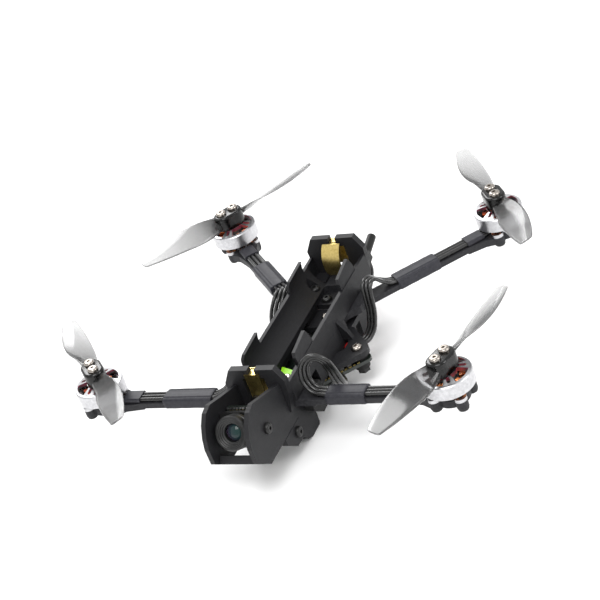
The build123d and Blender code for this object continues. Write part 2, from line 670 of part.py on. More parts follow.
def motor_wires(name):
    """The three wires of one motor, from under its bell to the flight controller."""
    motor = MOTORS[name][0]
    heading = radians(arm_heading(motor))
    start = (motor[0] + WIRE_START * cos(heading), motor[1] + WIRE_START * sin(heading), WIRE_Z)
    return ribbon([start] + ROUTES[name], (-sin(heading), cos(heading), 0))


def arm_box(motor, span, half, low, high, corner):
    """A rounded box lying along an arm, span measured from the motor's axis."""
    box = block(span, (-half, half), (low, high))
    box = fillet(box.edges().filter_by(Axis.X), corner)
    return turned(motor, box, arm_heading(motor))


def arm_sleeves():
    made = []
    for name, span in SLEEVES.items():
        motor = MOTORS[name][0]
        outer = arm_box(motor, span, 3.45, -ARM - 0.5, 1.95, 1.0)
        longer = (span[0] - 1, span[1] + 1)
        inner = arm_box(motor, longer, ARM_WIDTH / 2 + 0.02, -ARM - 0.02, 1.55, 0.05)
        made.append(outer - inner)
    return made


def wire_shrinks():
    made = []
    for motor, _, _ in MOTORS.values():
        outer = arm_box(motor, SHRINK, 2.7, 0.01, 1.8, 0.7)
        for k in (-1, 0, 1):
            hole = Pos(SHRINK[0], k * WIRE_PITCH, WIRE_Z) * Rot(0, 90, 0) * Cylinder(WIRE_R + 0.03, 20)
            outer -= turned(motor, hole, arm_heading(motor))
        made.append(outer)
    return made


RED_ROUTE = [(0.8, 40.2, 5.4), (1.6, 41.4, 1.0), (2.6, 40.8, -4.6), (3.6, 37.4, -8.6), (4.4, 31.0, -10.2),
             (4.4, 23.6, -10.0), (6.2, 19.2, -9.2), (8.6, 15.2, -7.7), (10.2, 11.8, -7.35), (11.4, 7.0, -7.35),
             (11.9, 1.6, -7.35)]
BLACK_ROUTE = [(-0.8, -39.8, 5.4), (-1.4, -41.0, 1.2), (-2.4, -41.2, -3.6), (-3.8, -38.6, -8.8), (-4.6, -32.6, -10.6),
               (-5.0, -27.6, -10.0), (-5.5, -24.0, -8.0), (-6.2, -20.8, -7.35), (-6.4, -17.2, -7.35),
               (-6.2, -12.6, -7.35)]
COAX_ROUTE = [(6.6, 6.4, -13.9), (6.4, 12.0, -14.0), (5.4, 19.0, -13.6), (4.6, 27.0, -13.0), (5.2, 34.6, -11.4),
              (7.4, 39.6, -7.6), (8.6, 41.6, -2.4), (8.6, 41.2, 1.5)]


def antenna_mast():
    """The aerial's sheath, leaning up behind the rear wall."""
    mast = Cylinder(1.6, 11.0, align=(Align.CENTER, Align.CENTER, Align.MIN))
    mast = fillet(mast.edges().group_by(Axis.Z)[-1], 0.6)
    foot = block((-2.0, 2.0), (-1.8, 1.8), (-0.2, 2.4))
    placed = Pos(8.2, REAR_FACE + 0.4, 3.4) * Rot(-75, 0, 0) * (mast + foot)
    return placed - block((-20, 20), (REAR_FACE - 20, REAR_FACE), (-20, 30))


# ---- writing the nodes ------------------------------------------------------------------
write("arm_plate", arm_plate())
write("battery_tray", battery_tray())
write("stack_plate", stack_plate())
write("front_skid", front_skid())
write("rear_skid", rear_skid())
write("side_bumpers", side_bumper())
write("lime_spacer", lime_spacer())
write("front_contact", contact_leaf(-1))
write("rear_contact", contact_leaf(1))
write("contact_tabs", [contact_tab(-1), contact_tab(1)])
write("camera_mount", camera_mount())
write("camera_body", camera_body())
write("lens_barrel", lens_barrel())
write("lens_glass", lens_glass())
write("camera_board", [camera_board()] + camera_chips())
right_screw = camera_screws()
write("camera_screws", [right_screw, mirror_x(right_screw)])
write("flight_controller", flight_controller())
write("board_parts", board_parts())
write("dampers", dampers())
write("stack_screws", stack_screws())
write("stack_nuts", stack_nuts())
write("usb_socket", usb_socket())
write("video_board", video_board())
write("video_shield", video_shield())
write("battery_lead_red", tube([Vector(*p) for p in RED_ROUTE], LEAD_R))
write("battery_lead_black", tube([Vector(*p) for p in BLACK_ROUTE], LEAD_R))
write("antenna_lead", tube([Vector(*p) for p in COAX_ROUTE], 0.6))
write("antenna_mast", antenna_mast())
plate_screws = [Pos(x, y, PLATE_SEAT) * button_screw(3.0) for x, y in PLATE_SCREWS]
floor_screws = [Pos(x, y, -PLATE) * button_screw(3.0) for x, y in FLOOR_SCREWS]
skid_screw = Pos(CHEEK_OUT, *SKID_SCREW) * Rot(0, 90, 0) * button_screw(2.0)
write("plate_screws", plate_screws + floor_screws + [skid_screw, mirror_x(skid_screw)])
write("arm_sleeves", arm_sleeves())
write("wire_shrinks", wire_shrinks())
bases, cores, coils, races, motor_screws = [], [], [], [], []
for name, (motor, blades, spin) in MOTORS.items():
    arm = arm_heading(motor)
    bases.append(turned(motor, motor_base(), arm))
    cores.append(turned(motor, stator_core(), arm))
    coils += [turned(motor, c, arm) for c in windings()]
    races += [turned(motor, r, arm) for r in bearings()]
    for i in range(4):
        screw = Pos(LUG_R, 0, -PAD) * Rot(180, 0, 0) * button_screw(PAD + 1.1)
        motor_screws.append(turned(motor, Rot(0, 0, 45 + 90 * i) * screw, arm))
    write(f"motor_wires_{name}", motor_wires(name))
    write(f"bell_{name}", turned(motor, bell(), blades))
    write(f"magnets_{name}", [turned(motor, m, blades) for m in magnets()])
    write(f"shaft_{name}", turned(motor, motor_shaft(), blades))
    write(f"propeller_{name}", turned(motor, propeller(spin), blades))
    write(f"prop_screws_{name}", [turned(motor, s, blades) for s in prop_screws()])
write("motor_bases", bases)
write("stator_cores", cores)
write("windings", coils)
write("bearings", races)
write("motor_screws", motor_screws)
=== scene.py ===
# %% [markdown]
# # A long-range racing quadcopter
# The model was built in CAD first, so every plate, screw and motor already has its true size and place.
# This lesson loads that model, gives each part its finish, and swaps the parts that need finer shapes
# (propellers, copper windings, lens and sleeves) for surfaces worked out with numpy.

import json
import math

import bpy
import numpy as np
from mathutils import Matrix, Vector


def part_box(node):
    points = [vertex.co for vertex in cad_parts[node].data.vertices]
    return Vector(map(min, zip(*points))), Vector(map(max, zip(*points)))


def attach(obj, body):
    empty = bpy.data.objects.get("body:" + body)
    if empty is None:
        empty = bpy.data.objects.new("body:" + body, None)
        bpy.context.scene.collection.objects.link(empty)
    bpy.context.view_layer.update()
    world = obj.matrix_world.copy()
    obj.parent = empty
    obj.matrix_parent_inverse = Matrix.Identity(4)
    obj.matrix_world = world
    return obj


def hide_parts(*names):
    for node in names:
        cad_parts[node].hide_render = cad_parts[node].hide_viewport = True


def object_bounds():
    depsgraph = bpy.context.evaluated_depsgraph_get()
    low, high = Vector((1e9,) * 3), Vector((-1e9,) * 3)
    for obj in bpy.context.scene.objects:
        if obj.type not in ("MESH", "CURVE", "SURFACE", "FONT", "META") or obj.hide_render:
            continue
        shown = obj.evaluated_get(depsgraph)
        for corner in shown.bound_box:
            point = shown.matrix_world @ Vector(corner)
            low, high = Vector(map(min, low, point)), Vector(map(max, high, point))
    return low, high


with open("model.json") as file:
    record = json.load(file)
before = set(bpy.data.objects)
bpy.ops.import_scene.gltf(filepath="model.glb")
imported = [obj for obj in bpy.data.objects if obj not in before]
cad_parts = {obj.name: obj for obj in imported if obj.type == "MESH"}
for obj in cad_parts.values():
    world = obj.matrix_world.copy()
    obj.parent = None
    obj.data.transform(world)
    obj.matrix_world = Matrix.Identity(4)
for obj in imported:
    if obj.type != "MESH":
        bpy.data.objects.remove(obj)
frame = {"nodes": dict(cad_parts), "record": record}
cad_low, cad_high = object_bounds()
nodes = frame["nodes"]
MM = 0.001
CELL_HEIGHT = 8.2                # the cradle's axis above the arm plate's top, in mm
CORNERS = ("fl", "fr", "rl", "rr")
print(f"{len(nodes)} CAD nodes, {(cad_high - cad_low) / MM} mm overall")


# %% [markdown]
# Finishes repeat: printed plastic, rubber and circuit boards all have fine grain, and every screw and
# motor has slightly uneven polish. Each effect is a node group, built once and used with other values.
# The groups read Object coordinates, which are metres here, so a size is a real size.

# %% Helpers for shader nodes
def add(tree, kind, **values):
    """Adds a node and sets its plain properties and its named inputs."""
    node = tree.nodes.new(kind)
    for key, value in values.items():
        if hasattr(node, key):
            setattr(node, key, value)
        else:
            node.inputs[key.replace("_", " ")].default_value = value
    return node


def group_with(name, inputs, outputs):
    """An empty shader group: inputs are (name, default) and outputs are (name, socket kind)."""
    tree = bpy.data.node_groups.new(name, "ShaderNodeTree")
    for label, value in inputs:
        kind = "NodeSocketColor" if isinstance(value, tuple) else "NodeSocketFloat"
        tree.interface.new_socket(label, in_out="INPUT", socket_type=kind).default_value = value
    for label, kind in outputs:
        tree.interface.new_socket(label, in_out="OUTPUT", socket_type=kind)
    return tree, tree.nodes.new("NodeGroupInput"), tree.nodes.new("NodeGroupOutput")


def noise_of_size(tree, size_socket, detail=3.0):
    """Noise whose blotches are about as wide as size_socket says, in metres."""
    place = add(tree, "ShaderNodeTexCoord")
    per_metre = add(tree, "ShaderNodeMath", operation="DIVIDE")
    per_metre.inputs[0].default_value = 1.0
    tree.links.new(size_socket, per_metre.inputs[1])
    noise = add(tree, "ShaderNodeTexNoise", Detail=detail, Roughness=0.55)
    tree.links.new(place.outputs["Object"], noise.inputs["Vector"])
    tree.links.new(per_metre.outputs[0], noise.inputs["Scale"])
    return noise


# %% Grain: two close colours in fine blotches, and a matching height
def build_grain():
    tree, given, made = group_with(
        "Grain", [("Dark", (0, 0, 0, 1)), ("Light", (1, 1, 1, 1)), ("Size", 0.0005)],
        [("Color", "NodeSocketColor"), ("Height", "NodeSocketFloat")])
    noise = noise_of_size(tree, given.outputs["Size"])
    spread = add(tree, "ShaderNodeMapRange", From_Min=0.3, From_Max=0.7)
    tree.links.new(noise.outputs["Fac"], spread.inputs["Value"])
    mix = add(tree, "ShaderNodeMix", data_type="RGBA")
    tree.links.new(spread.outputs["Result"], mix.inputs["Factor"])
    tree.links.new(given.outputs["Dark"], mix.inputs[6])
    tree.links.new(given.outputs["Light"], mix.inputs[7])
    tree.links.new(mix.outputs[2], made.inputs["Color"])
    tree.links.new(spread.outputs["Result"], made.inputs["Height"])
    return tree


GRAIN = build_grain()


# %% Polish: a roughness that wanders about its middle value, as handling leaves it
def build_polish():
    tree, given, made = group_with(
        "Polish", [("Middle", 0.4), ("Spread", 0.1), ("Size", 0.004)], [("Roughness", "NodeSocketFloat")])
    noise = noise_of_size(tree, given.outputs["Size"], detail=5.0)
    centred = add(tree, "ShaderNodeMath", operation="SUBTRACT")
    centred.inputs[1].default_value = 0.5
    tree.links.new(noise.outputs["Fac"], centred.inputs[0])
    scaled = add(tree, "ShaderNodeMath", operation="MULTIPLY_ADD")
    tree.links.new(centred.outputs[0], scaled.inputs[0])
    tree.links.new(given.outputs["Spread"], scaled.inputs[1])
    tree.links.new(given.outputs["Middle"], scaled.inputs[2])
    tree.links.new(scaled.outputs[0], made.inputs["Roughness"])
    return tree


POLISH = build_polish()


# %% Layers: the fine stacked lines that a printed part shows on its upright walls
def build_layers():
    tree, given, made = group_with("Layers", [("Layer", 0.0002)], [("Height", "NodeSocketFloat")])
    place = add(tree, "ShaderNodeTexCoord")
    apart = add(tree, "ShaderNodeSeparateXYZ")
    tree.links.new(place.outputs["Object"], apart.inputs[0])
    count = add(tree, "ShaderNodeMath", operation="DIVIDE")
    tree.links.new(apart.outputs["Z"], count.inputs[0])
    tree.links.new(given.outputs["Layer"], count.inputs[1])
    turns = add(tree, "ShaderNodeMath", operation="MULTIPLY")
    turns.inputs[1].default_value = 2 * math.pi
    tree.links.new(count.outputs[0], turns.inputs[0])
    wave = add(tree, "ShaderNodeMath", operation="SINE")
    tree.links.new(turns.outputs[0], wave.inputs[0])
    tree.links.new(wave.outputs[0], made.inputs["Height"])
    return tree


LAYERS = build_layers()
print("node groups:", [g.name for g in bpy.data.node_groups])


# %% [markdown]
# A material is a Principled shader with those groups in front of it. `finish` makes the common kind:
# grain for the colour, polish for the roughness, and a little bump. Finishes that need more, such as
# the smoky propellers or the coated lens, add their own nodes afterwards.

# %% The common finish
def grey(value, blue=0.0):
    return (value, value, value + blue, 1.0)


def finish(name, dark, light, rough, metal=0.0, grain=0.0005, bump=0.0, layer=0.0, spread=0.12, **sockets):
    """A Principled material: grained colour, uneven polish, and bump from grain or print layers."""
    material = bpy.data.materials.new(name)
    material.use_nodes = True
    tree = material.node_tree
    shader = tree.nodes["Principled BSDF"]
    shader.inputs["Metallic"].default_value = metal
    for key, value in sockets.items():
        shader.inputs[key.replace("_", " ")].default_value = value
    fine = add(tree, "ShaderNodeGroup", node_tree=GRAIN)
    fine.inputs["Dark"].default_value = dark
    fine.inputs["Light"].default_value = light
    fine.inputs["Size"].default_value = grain
    tree.links.new(fine.outputs["Color"], shader.inputs["Base Color"])
    worn = add(tree, "ShaderNodeGroup", node_tree=POLISH)
    worn.inputs["Middle"].default_value = rough
    worn.inputs["Spread"].default_value = spread
    tree.links.new(worn.outputs["Roughness"], shader.inputs["Roughness"])
    if bump:
        raised = add(tree, "ShaderNodeBump", Strength=bump, Distance=0.00004)
        tree.links.new(fine.outputs["Height"], raised.inputs["Height"])
        if layer:
            lines = add(tree, "ShaderNodeGroup", node_tree=LAYERS)
            lines.inputs["Layer"].default_value = layer
            tree.links.new(lines.outputs["Height"], raised.inputs["Height"])
        tree.links.new(raised.outputs["Normal"], shader.inputs["Normal"])
    return material


# %% Plastics and rubber
look = {}
DULL = {"Specular_IOR_Level": 0.26}
look["carbon"] = finish("carbon_plate", grey(0.013, 0.002), grey(0.026, 0.003), 0.54,
                        grain=0.0006, bump=0.4, **DULL)
look["printed_black"] = finish("printed_plastic", grey(0.008, 0.001), grey(0.014, 0.002), 0.50,
                               grain=0.0004, bump=0.3, layer=0.0003, **DULL)
look["moulded_black"] = finish("moulded_plastic", grey(0.006), grey(0.011), 0.40,
                               grain=0.0003, bump=0.2, **DULL)
look["rubber_black"] = finish("soft_rubber", grey(0.008), grey(0.014), 0.62,
                              grain=0.0003, bump=0.3, **DULL)
look["lime_plastic"] = finish("lime_plastic", (0.26, 0.66, 0.01, 1), (0.36, 0.80, 0.02, 1), 0.34,
                              grain=0.0015)
look["shrink_sleeve"] = finish("shrink_sleeve", grey(0.018, 0.005), grey(0.030, 0.007), 0.46,
                               grain=0.0012, bump=0.3, **DULL)
look["wire_black"] = finish("black_silicone", grey(0.007), grey(0.012), 0.28, grain=0.002, Coat_Weight=0.25)
look["wire_red"] = finish("red_silicone", (0.42, 0.012, 0.012, 1), (0.52, 0.02, 0.018, 1), 0.36,
                          grain=0.002)

# %% Metals and electronics
look["screw_steel"] = finish("screw_steel", (0.27, 0.245, 0.22, 1), (0.42, 0.385, 0.35, 1), 0.2,
                             metal=1.0, grain=0.0006)
look["screw_black"] = finish("screw_black", grey(0.014), grey(0.028), 0.3, metal=0.5, grain=0.0006)
look["tinned_steel"] = finish("tinned_steel", grey(0.40), grey(0.50), 0.30, metal=1.0, grain=0.001)
look["shaft_steel"] = finish("shaft_steel", grey(0.38), grey(0.48), 0.2, metal=1.0, grain=0.001)
look["magnet_nickel"] = finish("magnet_nickel", grey(0.45), grey(0.55), 0.22, metal=1.0, grain=0.001)
look["stator_black"] = finish("stator_coating", grey(0.015), grey(0.03), 0.4, grain=0.0003)
look["copper_winding"] = finish("enamelled_copper", (0.60, 0.20, 0.055, 1), (0.78, 0.30, 0.10, 1), 0.25,
                                metal=1.0, grain=0.0008, Coat_Weight=0.6)
look["gold_contact"] = finish("gilt_strip", (0.50, 0.38, 0.12, 1), (0.66, 0.52, 0.20, 1), 0.3,
                              metal=1.0, grain=0.0007, bump=0.3)
look["circuit_board"] = finish("solder_mask", (0.006, 0.010, 0.008, 1), (0.012, 0.018, 0.014, 1), 0.3,
                               grain=0.0012, Coat_Weight=0.3)
look["chip_black"] = finish("chip_epoxy", grey(0.014), grey(0.05), 0.4, grain=0.0014)
look["lens_black"] = finish("anodised_barrel", grey(0.020), grey(0.030), 0.34, metal=0.5, grain=0.0008)
print(len(look), "finishes so far")


# %% [markdown]
# The motors are turned from aluminium and anodised in two colours: satin silver outside, and pink on the
# walls that were cut last, such as the windows between the spokes. Those walls stand upright near the
# top, so a mask of height and of the normal's Z picks them out with no painting.

# %% Silver motors with pink cut edges
FRONT_MOTOR, REAR_MOTOR = (0.0648, -0.0327, 0), (0.05315, 0.0605, 0)    # the +X pair's axes, in metres
RIM_INSIDE = 7.7                 # mm from a motor's axis to the inside of its rim
CUT_FROM = 7.1                   # mm above the plate where the bell's windows begin
UPRIGHT = 0.5                    # a face is a wall when its normal's Z is under this


def maths(tree, operation, first, second=None):
    """One math node on a socket and a socket or number; returns its output."""
    node = add(tree, "ShaderNodeMath", operation=operation)
    tree.links.new(first, node.inputs[0])
    if isinstance(second, float):
        node.inputs[1].default_value = second
    elif second is not None:
        tree.links.new(second, node.inputs[1])
    return node.outputs[0]


def motor_finish():
    """Pink where a wall is upright, above the magnets and inside the rim; silver elsewhere."""
    material = finish("satin_aluminium", grey(0.44, 0.012), grey(0.58, 0.014), 0.3, metal=1.0, grain=0.0009)
    tree = material.node_tree
    shader = tree.nodes["Principled BSDF"]
    silver = shader.inputs["Base Color"].links[0].from_socket
    place = add(tree, "ShaderNodeTexCoord")
    apart = add(tree, "ShaderNodeSeparateXYZ")
    tree.links.new(place.outputs["Object"], apart.inputs[0])
    flat = add(tree, "ShaderNodeCombineXYZ")
    tree.links.new(maths(tree, "ABSOLUTE", apart.outputs["X"]), flat.inputs["X"])
    tree.links.new(apart.outputs["Y"], flat.inputs["Y"])
    away = []
    for axis in (FRONT_MOTOR, REAR_MOTOR):
        gap = add(tree, "ShaderNodeVectorMath", operation="DISTANCE")
        tree.links.new(flat.outputs[0], gap.inputs[0])
        gap.inputs[1].default_value = axis
        away.append(gap.outputs["Value"])
    inside = maths(tree, "LESS_THAN", maths(tree, "MINIMUM", *away), RIM_INSIDE * MM)
    above = maths(tree, "GREATER_THAN", apart.outputs["Z"], (CUT_FROM - CELL_HEIGHT) * MM)
    facing = add(tree, "ShaderNodeSeparateXYZ")
    tree.links.new(place.outputs["Normal"], facing.inputs[0])
    wall = maths(tree, "LESS_THAN", maths(tree, "ABSOLUTE", facing.outputs["Z"]), UPRIGHT)
    cut = maths(tree, "MULTIPLY", maths(tree, "MULTIPLY", inside, above), wall)
    mix = add(tree, "ShaderNodeMix", data_type="RGBA")
    mix.inputs[7].default_value = (0.94, 0.40, 0.55, 1)
    tree.links.new(cut, mix.inputs["Factor"])
    tree.links.new(silver, mix.inputs[6])
    tree.links.new(mix.outputs[2], shader.inputs["Base Color"])
    return material


look["motor_silver"] = motor_finish()


# %% [markdown]
# The propellers are moulded in smoke-tinted clear plastic. They are dark where the plastic is thick, at
# the hub, and pale and see-through towards the tips. Each blade mesh carries an attribute that says how
# far out a point is, and a colour ramp turns that into the tint.

# %% Smoky clear plastic
def blade_finish():
    material = bpy.data.materials.new("smoke_clear_plastic")
    material.use_nodes = True
    tree = material.node_tree
    shader = tree.nodes["Principled BSDF"]
    shader.inputs["Transmission Weight"].default_value = 0.92
    shader.inputs["IOR"].default_value = 1.42
    out = add(tree, "ShaderNodeAttribute", attribute_name="span")
    ramp = add(tree, "ShaderNodeValToRGB")
    ramp.color_ramp.elements[0].position = 0.12
    ramp.color_ramp.elements[0].color = grey(0.010)
    ramp.color_ramp.elements[1].position = 0.90
    ramp.color_ramp.elements[1].color = grey(0.58)
    for share, tint in ((0.2, 0.11), (0.34, 0.27), (0.6, 0.42)):
        ramp.color_ramp.elements.new(share).color = grey(tint)
    tree.links.new(out.outputs["Fac"], ramp.inputs["Fac"])
    tree.links.new(ramp.outputs["Color"], shader.inputs["Base Color"])
    worn = add(tree, "ShaderNodeGroup", node_tree=POLISH)
    worn.inputs["Middle"].default_value = 0.15
    worn.inputs["Spread"].default_value = 0.06
    tree.links.new(worn.outputs["Roughness"], shader.inputs["Roughness"])
    return material


look["smoke_blade"] = blade_finish()


# %% Coated lens glass: teal head on, purple at a glance
def lens_finish():
    material = bpy.data.materials.new("coated_glass")
    material.use_nodes = True
    tree = material.node_tree
    shader = tree.nodes["Principled BSDF"]
    shader.inputs["Roughness"].default_value = 0.05
    shader.inputs["Specular IOR Level"].default_value = 0.22
    shader.inputs["Coat Weight"].default_value = 0.15
    glance = add(tree, "ShaderNodeLayerWeight", Blend=0.35)
    ramp = add(tree, "ShaderNodeValToRGB")
    ramp.color_ramp.elements[0].color = (0.006, 0.030, 0.028, 1)
    ramp.color_ramp.elements[1].color = (0.05, 0.012, 0.045, 1)
    tree.links.new(glance.outputs["Facing"], ramp.inputs["Fac"])
    tree.links.new(ramp.outputs["Color"], shader.inputs["Base Color"])
    return material


look["lens_glass"] = lens_finish()

# %% [markdown]
# The record says which finish each CAD node has, so one loop dresses them all. Sharp machined edges
# catch no light, so the plates and printed parts get a small Bevel modifier: the rims in bright light
# are what shows a black part's shape.

# %% Dress the CAD nodes
slot_of = {s["node"]: s["material_slot"] for s in frame["record"]["subparts"]}
for name, node in nodes.items():
    node.data.materials.clear()
    node.data.materials.append(look[slot_of[name]])

SOFT_EDGES = {"battery_tray": 0.22, "camera_mount": 0.25, "front_skid": 0.25, "rear_skid": 0.25,
              "stack_plate": 0.15, "arm_plate": 0.18, "front_contact": 0.05, "rear_contact": 0.05}
for name, width in SOFT_EDGES.items():
    edge = nodes[name].modifiers.new("soft_edge", "BEVEL")
    edge.width = width * MM
    edge.segments = 2
    edge.limit_method = "ANGLE"
    edge.angle_limit = math.radians(40)
    edge.harden_normals = True
print("dressed", len(nodes), "nodes")


# %% [markdown]
# Every new piece is a surface: rows of points round a section, one row after another along the piece.
# `surface` joins neighbouring rows with quads. An open piece gets a cap at each end, and a piece whose
# last row meets its first is a ring. All the points of a piece are computed at once as numpy arrays.

# %% From arrays of points to a piece
def quads_of(rows, count, ring, start):
    """Quads between neighbouring sections, and the two end caps of an open piece."""
    i = np.arange(rows if ring else rows - 1)[:, None]
    j = np.arange(count)[None, :]
    after, beside = (i + 1) % rows, (j + 1) % count
    corners = [i * count + j, i * count + beside, after * count + beside, after * count + j]
    quads = np.stack([c + start for c in np.broadcast_arrays(*corners)], axis=-1).reshape(-1, 4).tolist()
    if not ring:
        quads.append((start + np.arange(count)[::-1]).tolist())
        quads.append((start + (rows - 1) * count + np.arange(count)).tolist())
    return quads


def surface(name, patches, slot, body, replaced=(), ring=False, sharp=35.0, span=None):
    """A piece from patches, each an array (sections, points round, 3) in mm in the row frame."""
    faces, start = [], 0
    for patch in patches:
        faces += quads_of(patch.shape[0], patch.shape[1], ring, start)
        start += patch.shape[0] * patch.shape[1]
    points = np.concatenate([p.reshape(-1, 3) for p in patches]) * MM
    mesh = bpy.data.meshes.new(name)
    mesh.from_pydata(points.tolist(), [], faces)
    mesh.polygons.foreach_set("use_smooth", np.ones(len(mesh.polygons), bool))
    mesh.set_sharp_from_angle(angle=math.radians(sharp))
    if span is not None:
        values = np.concatenate([s.ravel() for s in span]).astype(np.float32)
        mesh.attributes.new("span", "FLOAT", "POINT").data.foreach_set("value", values)
    mesh.materials.append(look[slot])
    piece = bpy.data.objects.new(name, mesh)
    bpy.context.scene.collection.objects.link(piece)
    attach(piece, body)
    if replaced:
        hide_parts(*replaced)
    print(f"{name}: {len(points)} points, {len(faces)} faces")
    return piece


def rotate_z(points, degrees):
    """Turns points about the Z axis."""
    c, s = math.cos(math.radians(degrees)), math.sin(math.radians(degrees))
    return points @ np.array([[c, s, 0], [-s, c, 0], [0, 0, 1]])


def turned(profile, steps=64):
    """A lathe: point i of the profile is (radius, height), and goes round Z at steps angles."""
    profile = np.asarray(profile, float)
    angle = np.linspace(0, 2 * np.pi, steps, endpoint=False)
    x = profile[:, :1] * np.cos(angle)
    y = profile[:, :1] * np.sin(angle)
    z = np.broadcast_to(profile[:, 1:], x.shape)
    return np.stack([x, y, z], axis=-1)


def smooth_table(table, at):
    """Values between a table's lines: cubic pieces whose slopes are those of the chord round each line."""
    table = np.asarray(table, float)
    x, values = table[:, 0], table[:, 1:]
    slopes = np.gradient(values, x, axis=0)
    i = np.clip(np.searchsorted(x, at) - 1, 0, len(x) - 2)
    step = (x[i + 1] - x[i])[:, None]
    t = ((at - x[i]) / step[:, 0])[:, None]
    low = (2 * t**3 - 3 * t**2 + 1) * values[i] + (t**3 - 2 * t**2 + t) * step * slopes[i]
    high = (3 * t**2 - 2 * t**3) * values[i + 1] + (t**3 - t**2) * step * slopes[i + 1]
    return low + high


# %% [markdown]
# Where each motor stands comes from the CAD boxes: a bell's box is centred on its axis. The blades stand
# at the same angles as the CAD model's, so that a shown propeller takes the place of the CAD one.

# %% Motor places
def middle_of(node):
    low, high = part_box(node)
    return (np.array(low) + np.array(high)) / 2 / MM


MOTOR = {c: middle_of(f"bell_{c}")[:2] for c in CORNERS}
BLADES_AT = {"fl": 73.5, "fr": -47.2, "rl": -53.3, "rr": 52.9}   # degrees from +X
SPIN = {"fl": -1, "fr": 1, "rl": 1, "rr": -1}                     # +1 turns anticlockwise seen from above
REAR_ARM_ROOT = (6.0, 12.0)


def arm_heading(corner):
    """Degrees of the direction from a motor inward along its arm."""
    x, y = MOTOR[corner]
    if y < 0:
        return 180.0 if x > 0 else 0.0
    root_x, root_y = math.copysign(REAR_ARM_ROOT[0], x), REAR_ARM_ROOT[1]
    return math.degrees(math.atan2(root_y - y, root_x - x))


def on_motor(corner, points, degrees):
    """Points drawn about the origin at plate height, set on a motor and turned."""
    x, y = MOTOR[corner]
    return rotate_z(points, degrees) + np.array([x, y, -CELL_HEIGHT])


print({c: np.round(MOTOR[c], 2).tolist() for c in CORNERS})

# %% [markdown]
# A blade is a stack of thin wing sections. Going outwards the chord grows and then narrows to a rounded
# tip, the section thins, and the twist follows a screw of constant pitch: angle = atan(pitch / 2 pi r).

# %% The propellers
PROP_R, PITCH = 38.1, 50.0       # mm: the tip's radius, and how far a blade screws on in one turn
HUB_LONG, HUB_WIDE = 11.2, 7.4
HUB_LOW, HUB_HIGH = 8.4, 14.1    # above the plate
HUB_SHOULDER, HUB_FOOT = 0.9, 0.25
ROOT, ROOT_HEIGHT = 3.0, 11.3    # where a blade starts, from the axis and above the plate
STEEPEST = 38                    # degrees: the twist stops growing here, near the root
CAMBER = 0.035                   # of the chord
TIP_FROM = 36.9                  # the chord starts to round off here, towards the tip
BLADE = [  # radius, chord, thickness, offset along the chord, lift
    (3.0, 5.4, 2.6, 0.0, 0.0),
    (7.5, 7.4, 1.7, 0.1, 0.1),
    (14.0, 9.8, 1.25, 0.4, 0.4),
    (22.0, 9.8, 1.0, 0.3, 0.9),
    (30.0, 8.0, 0.8, -0.3, 1.4),
    (35.6, 5.8, 0.6, -0.9, 1.8),
    (38.1, 4.6, 0.4, -1.3, 2.0),
]


def blade(spin, stations=44, around=36):
    """Sections (x, z) = (chord cos a / 2, thickness sin a / 2 + camber), turned by the pitch angle."""
    share = np.linspace(0, 1, stations)
    radius = ROOT + (PROP_R - ROOT) * (1 - (1 - share) ** 1.5)
    chord, thick, shift, lift = smooth_table(BLADE, radius).T
    past = ((radius - TIP_FROM) / (PROP_R + 0.02 - TIP_FROM)).clip(0)
    tip = np.clip(1 - past ** 4, 0.0004, 1) ** 0.5
    angle = np.minimum(np.arctan(PITCH / (2 * np.pi * radius)), math.radians(STEEPEST))
    a = np.linspace(0, 2 * np.pi, around, endpoint=False)
    along = 0.5 * (chord * tip)[:, None] * np.cos(a)
    up = 0.5 * (thick * np.sqrt(tip))[:, None] * np.sin(a) * (1 - 0.35 * np.cos(a))
    up = up + CAMBER * chord[:, None] * np.sin(a) ** 2
    y = along * np.cos(angle)[:, None] - up * np.sin(angle)[:, None]
    z = along * np.sin(angle)[:, None] + up * np.cos(angle)[:, None]
    x = np.broadcast_to(radius[:, None], y.shape)
    points = np.stack([x, spin * (y + shift[:, None]), z + ROOT_HEIGHT + lift[:, None]], axis=-1)
    if spin < 0:
        points = points[:, ::-1]
    return points, np.broadcast_to((radius / PROP_R)[:, None], y.shape)


def hub(around=72):
    """A stadium with round ends, carried up Z: a straight wall, then a quarter-round shoulder."""
    r = HUB_WIDE / 2
    bend = np.linspace(0, np.pi / 2, 7)
    inset = np.concatenate([[HUB_FOOT, 0.0], HUB_SHOULDER * (1 - np.cos(bend))])
    rise = HUB_HIGH - HUB_SHOULDER + HUB_SHOULDER * np.sin(bend)
    level = np.concatenate([[HUB_LOW, HUB_LOW + HUB_FOOT], rise])
    a = np.linspace(0, 2 * np.pi, around, endpoint=False)
    offset = (HUB_LONG / 2 - r) * np.sign(np.cos(a))
    x = (r - inset)[:, None] * np.cos(a) + offset
    y = (r - inset)[:, None] * np.sin(a)
    return np.stack([x, y, np.broadcast_to(level[:, None], x.shape)], axis=-1)


for c in CORNERS:
    one, out = blade(SPIN[c])
    parts = [on_motor(c, p, BLADES_AT[c]) for p in (one, rotate_z(one, 180))]
    core = on_motor(c, hub(), BLADES_AT[c])
    surface(f"prop_{c}", parts + [core], "smoke_blade", f"rotor_{c}", [f"propeller_{c}"],
            span=[out, out, np.full(core.shape[:2], 0.02)])

# %% [markdown]
# Each stator tooth is wound with enamelled copper wire. A winding is a helix with a squared-off turn:
# y = w sgn(cos a) |cos a|^0.45, z = h sgn(sin a) |sin a|^0.45, while x creeps out along the tooth.

